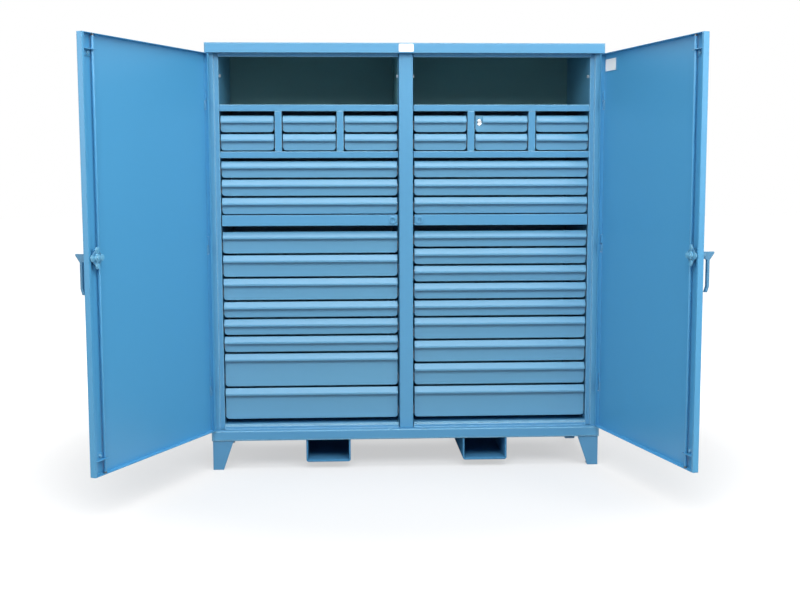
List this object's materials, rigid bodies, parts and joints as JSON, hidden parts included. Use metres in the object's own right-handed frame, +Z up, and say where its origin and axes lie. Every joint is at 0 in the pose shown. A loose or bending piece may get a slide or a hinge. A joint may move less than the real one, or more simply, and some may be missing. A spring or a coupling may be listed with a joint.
{
  "type": "drawer cabinet",
  "caption": "Heavy-duty steel storage cabinet: hinged doors with rod locks over banks of full-width and small pull drawers, sliding worktops, open cubbies, tapered legs and fork pockets.",
  "frame": {"origin": "centre of the four foot anchor holes, on the floor", "axes": "+X to the cabinet's right seen from the front, +Y to the back, +Z up"},
  "size_m": [2.5262, 1.5042, 1.974],
  "materials": {
    "blue_paint": "semi-gloss",
    "zinc_steel": "zinc plated",
    "lock_chrome": "polished",
    "white_plate": "blank"
  },
  "bodies": {
    "cabinet": {"side_panels": "blue_paint", "back_panel": "blue_paint", "top_header": "blue_paint", "base_sill": "blue_paint", "centre_partition": "blue_paint", "door_posts": "blue_paint", "legs": "blue_paint", "fork_pockets": "blue_paint", "bank_frames": "blue_paint", "drawer_runners": "zinc_steel", "hinge_knuckles": "blue_paint", "plates_and_bolts": "white_plate"},
    "left_door": {"left_door": "blue_paint", "left_door_fittings": "blue_paint"},
    "right_door": {"right_door": "blue_paint", "right_door_fittings": "blue_paint"},
    "left_handle": {"left_handle": "blue_paint"},
    "right_handle": {"right_handle": "blue_paint"},
    "left_worktop": {"left_worktop": "blue_paint"},
    "right_worktop": {"right_worktop": "blue_paint"},
    "drawer_lock": {"drawer_lock": "lock_chrome"},
    "left_small_drawer_1": {"left_small_drawer_1": "blue_paint"},
    "left_small_drawer_2": {"left_small_drawer_2": "blue_paint"},
    "left_small_drawer_3": {"left_small_drawer_3": "blue_paint"},
    "left_small_drawer_4": {"left_small_drawer_4": "blue_paint"},
    "left_small_drawer_5": {"left_small_drawer_5": "blue_paint"},
    "left_small_drawer_6": {"left_small_drawer_6": "blue_paint"},
    "left_wide_drawer_1": {"left_wide_drawer_1": "blue_paint"},
    "left_wide_drawer_2": {"left_wide_drawer_2": "blue_paint"},
    "left_wide_drawer_3": {"left_wide_drawer_3": "blue_paint"},
    "left_lower_drawer_1": {"left_lower_drawer_1": "blue_paint"},
    "left_lower_drawer_2": {"left_lower_drawer_2": "blue_paint"},
    "left_lower_drawer_3": {"left_lower_drawer_3": "blue_paint"},
    "left_lower_drawer_4": {"left_lower_drawer_4": "blue_paint"},
    "left_lower_drawer_5": {"left_lower_drawer_5": "blue_paint"},
    "left_lower_drawer_6": {"left_lower_drawer_6": "blue_paint"},
    "left_lower_drawer_7": {"left_lower_drawer_7": "blue_paint"},
    "left_lower_drawer_8": {"left_lower_drawer_8": "blue_paint"},
    "right_small_drawer_1": {"right_small_drawer_1": "blue_paint"},
    "right_small_drawer_2": {"right_small_drawer_2": "blue_paint"},
    "right_small_drawer_3": {"right_small_drawer_3": "blue_paint"},
    "right_small_drawer_4": {"right_small_drawer_4": "blue_paint"},
    "right_small_drawer_5": {"right_small_drawer_5": "blue_paint"},
    "right_small_drawer_6": {"right_small_drawer_6": "blue_paint"},
    "right_wide_drawer_1": {"right_wide_drawer_1": "blue_paint"},
    "right_wide_drawer_2": {"right_wide_drawer_2": "blue_paint"},
    "right_wide_drawer_3": {"right_wide_drawer_3": "blue_paint"},
    "right_lower_drawer_1": {"right_lower_drawer_1": "blue_paint"},
    "right_lower_drawer_2": {"right_lower_drawer_2": "blue_paint"},
    "right_lower_drawer_3": {"right_lower_drawer_3": "blue_paint"},
    "right_lower_drawer_4": {"right_lower_drawer_4": "blue_paint"},
    "right_lower_drawer_5": {"right_lower_drawer_5": "blue_paint"},
    "right_lower_drawer_6": {"right_lower_drawer_6": "blue_paint"},
    "right_lower_drawer_7": {"right_lower_drawer_7": "blue_paint"},
    "right_lower_drawer_8": {"right_lower_drawer_8": "blue_paint"},
    "right_lower_drawer_9": {"right_lower_drawer_9": "blue_paint"},
    "left_upper_rod": {"left_upper_rod": "blue_paint"},
    "left_lower_rod": {"left_lower_rod": "blue_paint"},
    "right_upper_rod": {"right_upper_rod": "blue_paint"},
    "right_lower_rod": {"right_lower_rod": "blue_paint"}
  },
  "joints": [
    {"name": "left_door_hinge", "type": "hinge", "parent": "cabinet", "child": "left_door", "pos_m": [-0.9145, -0.305, 1], "axis": [0, 0, -1], "range_deg": [-115, 65]},
    {"name": "right_door_hinge", "type": "hinge", "parent": "cabinet", "child": "right_door", "pos_m": [0.9145, -0.305, 1], "axis": [0, 0, 1], "range_deg": [-103, 77]},
    {"name": "left_handle_turn", "type": "hinge", "parent": "left_door", "child": "left_handle", "pos_m": [-1.27964, -1.08805, 1.058], "axis": [0.9063, -0.4226, 0], "range_deg": [0, 90]},
    {"name": "right_handle_turn", "type": "hinge", "parent": "right_door", "child": "right_handle", "pos_m": [1.10886, -1.14686, 1.058], "axis": [0.9744, 0.225, 0], "range_deg": [0, 90]},
    {"name": "left_worktop_slide", "type": "slide", "parent": "cabinet", "child": "left_worktop", "axis": [0, -1, 0], "range_m": [0, 0.38]},
    {"name": "right_worktop_slide", "type": "slide", "parent": "cabinet", "child": "right_worktop", "axis": [0, -1, 0], "range_m": [0, 0.38]},
    {"name": "drawer_lock_turn", "type": "hinge", "parent": "right_small_drawer_2", "child": "drawer_lock", "pos_m": [0.34367, -0.24, 1.6179], "axis": [0, -1, 0], "range_deg": [0, 90]},
    {"name": "left_small_drawer_1_slide", "type": "slide", "parent": "cabinet", "child": "left_small_drawer_1", "axis": [0, -1, 0], "range_m": [0, 0.4]},
    {"name": "left_small_drawer_2_slide", "type": "slide", "parent": "cabinet", "child": "left_small_drawer_2", "axis": [0, -1, 0], "range_m": [0, 0.4]},
    {"name": "left_small_drawer_3_slide", "type": "slide", "parent": "cabinet", "child": "left_small_drawer_3", "axis": [0, -1, 0], "range_m": [0, 0.4]},
    {"name": "left_small_drawer_4_slide", "type": "slide", "parent": "cabinet", "child": "left_small_drawer_4", "axis": [0, -1, 0], "range_m": [0, 0.4]},
    {"name": "left_small_drawer_5_slide", "type": "slide", "parent": "cabinet", "child": "left_small_drawer_5", "axis": [0, -1, 0], "range_m": [0, 0.4]},
    {"name": "left_small_drawer_6_slide", "type": "slide", "parent": "cabinet", "child": "left_small_drawer_6", "axis": [0, -1, 0], "range_m": [0, 0.4]},
    {"name": "left_wide_drawer_1_slide", "type": "slide", "parent": "cabinet", "child": "left_wide_drawer_1", "axis": [0, -1, 0], "range_m": [0, 0.4]},
    {"name": "left_wide_drawer_2_slide", "type": "slide", "parent": "cabinet", "child": "left_wide_drawer_2", "axis": [0, -1, 0], "range_m": [0, 0.4]},
    {"name": "left_wide_drawer_3_slide", "type": "slide", "parent": "cabinet", "child": "left_wide_drawer_3", "axis": [0, -1, 0], "range_m": [0, 0.4]},
    {"name": "left_lower_drawer_1_slide", "type": "slide", "parent": "cabinet", "child": "left_lower_drawer_1", "axis": [0, -1, 0], "range_m": [0, 0.4]},
    {"name": "left_lower_drawer_2_slide", "type": "slide", "parent": "cabinet", "child": "left_lower_drawer_2", "axis": [0, -1, 0], "range_m": [0, 0.4]},
    {"name": "left_lower_drawer_3_slide", "type": "slide", "parent": "cabinet", "child": "left_lower_drawer_3", "axis": [0, -1, 0], "range_m": [0, 0.4]},
    {"name": "left_lower_drawer_4_slide", "type": "slide", "parent": "cabinet", "child": "left_lower_drawer_4", "axis": [0, -1, 0], "range_m": [0, 0.4]},
    {"name": "left_lower_drawer_5_slide", "type": "slide", "parent": "cabinet", "child": "left_lower_drawer_5", "axis": [0, -1, 0], "range_m": [0, 0.4]},
    {"name": "left_lower_drawer_6_slide", "type": "slide", "parent": "cabinet", "child": "left_lower_drawer_6", "axis": [0, -1, 0], "range_m": [0, 0.4]},
    {"name": "left_lower_drawer_7_slide", "type": "slide", "parent": "cabinet", "child": "left_lower_drawer_7", "axis": [0, -1, 0], "range_m": [0, 0.4]},
    {"name": "left_lower_drawer_8_slide", "type": "slide", "parent": "cabinet", "child": "left_lower_drawer_8", "axis": [0, -1, 0], "range_m": [0, 0.4]},
    {"name": "right_small_drawer_1_slide", "type": "slide", "parent": "cabinet", "child": "right_small_drawer_1", "axis": [0, -1, 0], "range_m": [0, 0.4]},
    {"name": "right_small_drawer_2_slide", "type": "slide", "parent": "cabinet", "child": "right_small_drawer_2", "axis": [0, -1, 0], "range_m": [0, 0.4]},
    {"name": "right_small_drawer_3_slide", "type": "slide", "parent": "cabinet", "child": "right_small_drawer_3", "axis": [0, -1, 0], "range_m": [0, 0.4]},
    {"name": "right_small_drawer_4_slide", "type": "slide", "parent": "cabinet", "child": "right_small_drawer_4", "axis": [0, -1, 0], "range_m": [0, 0.4]},
    {"name": "right_small_drawer_5_slide", "type": "slide", "parent": "cabinet", "child": "right_small_drawer_5", "axis": [0, -1, 0], "range_m": [0, 0.4]},
    {"name": "right_small_drawer_6_slide", "type": "slide", "parent": "cabinet", "child": "right_small_drawer_6", "axis": [0, -1, 0], "range_m": [0, 0.4]},
    {"name": "right_wide_drawer_1_slide", "type": "slide", "parent": "cabinet", "child": "right_wide_drawer_1", "axis": [0, -1, 0], "range_m": [0, 0.4]},
    {"name": "right_wide_drawer_2_slide", "type": "slide", "parent": "cabinet", "child": "right_wide_drawer_2", "axis": [0, -1, 0], "range_m": [0, 0.4]},
    {"name": "right_wide_drawer_3_slide", "type": "slide", "parent": "cabinet", "child": "right_wide_drawer_3", "axis": [0, -1, 0], "range_m": [0, 0.4]},
    {"name": "right_lower_drawer_1_slide", "type": "slide", "parent": "cabinet", "child": "right_lower_drawer_1", "axis": [0, -1, 0], "range_m": [0, 0.4]},
    {"name": "right_lower_drawer_2_slide", "type": "slide", "parent": "cabinet", "child": "right_lower_drawer_2", "axis": [0, -1, 0], "range_m": [0, 0.4]},
    {"name": "right_lower_drawer_3_slide", "type": "slide", "parent": "cabinet", "child": "right_lower_drawer_3", "axis": [0, -1, 0], "range_m": [0, 0.4]},
    {"name": "right_lower_drawer_4_slide", "type": "slide", "parent": "cabinet", "child": "right_lower_drawer_4", "axis": [0, -1, 0], "range_m": [0, 0.4]},
    {"name": "right_lower_drawer_5_slide", "type": "slide", "parent": "cabinet", "child": "right_lower_drawer_5", "axis": [0, -1, 0], "range_m": [0, 0.4]},
    {"name": "right_lower_drawer_6_slide", "type": "slide", "parent": "cabinet", "child": "right_lower_drawer_6", "axis": [0, -1, 0], "range_m": [0, 0.4]},
    {"name": "right_lower_drawer_7_slide", "type": "slide", "parent": "cabinet", "child": "right_lower_drawer_7", "axis": [0, -1, 0], "range_m": [0, 0.4]},
    {"name": "right_lower_drawer_8_slide", "type": "slide", "parent": "cabinet", "child": "right_lower_drawer_8", "axis": [0, -1, 0], "range_m": [0, 0.4]},
    {"name": "right_lower_drawer_9_slide", "type": "slide", "parent": "cabinet", "child": "right_lower_drawer_9", "axis": [0, -1, 0], "range_m": [0, 0.4]},
    {"name": "left_upper_rod_slide", "type": "slide", "parent": "left_door", "child": "left_upper_rod", "axis": [0, 0, 1], "range_m": [0, 0.0282]},
    {"name": "left_lower_rod_slide", "type": "slide", "parent": "left_door", "child": "left_lower_rod", "axis": [0, 0, -1], "range_m": [0, 0.0282]},
    {"name": "right_upper_rod_slide", "type": "slide", "parent": "right_door", "child": "right_upper_rod", "axis": [0, 0, 1], "range_m": [0, 0.0282]},
    {"name": "right_lower_rod_slide", "type": "slide", "parent": "right_door", "child": "right_lower_rod", "axis": [0, 0, -1], "range_m": [0, 0.0282]}
  ],
  "couplings": [
    {"joint": "left_upper_rod_slide", "follows": "left_handle_turn", "m_per_rad": 0.017825},
    {"joint": "left_lower_rod_slide", "follows": "left_handle_turn", "m_per_rad": 0.017825},
    {"joint": "right_upper_rod_slide", "follows": "right_handle_turn", "m_per_rad": 0.017825},
    {"joint": "right_lower_rod_slide", "follows": "right_handle_turn", "m_per_rad": 0.017825}
  ]
}
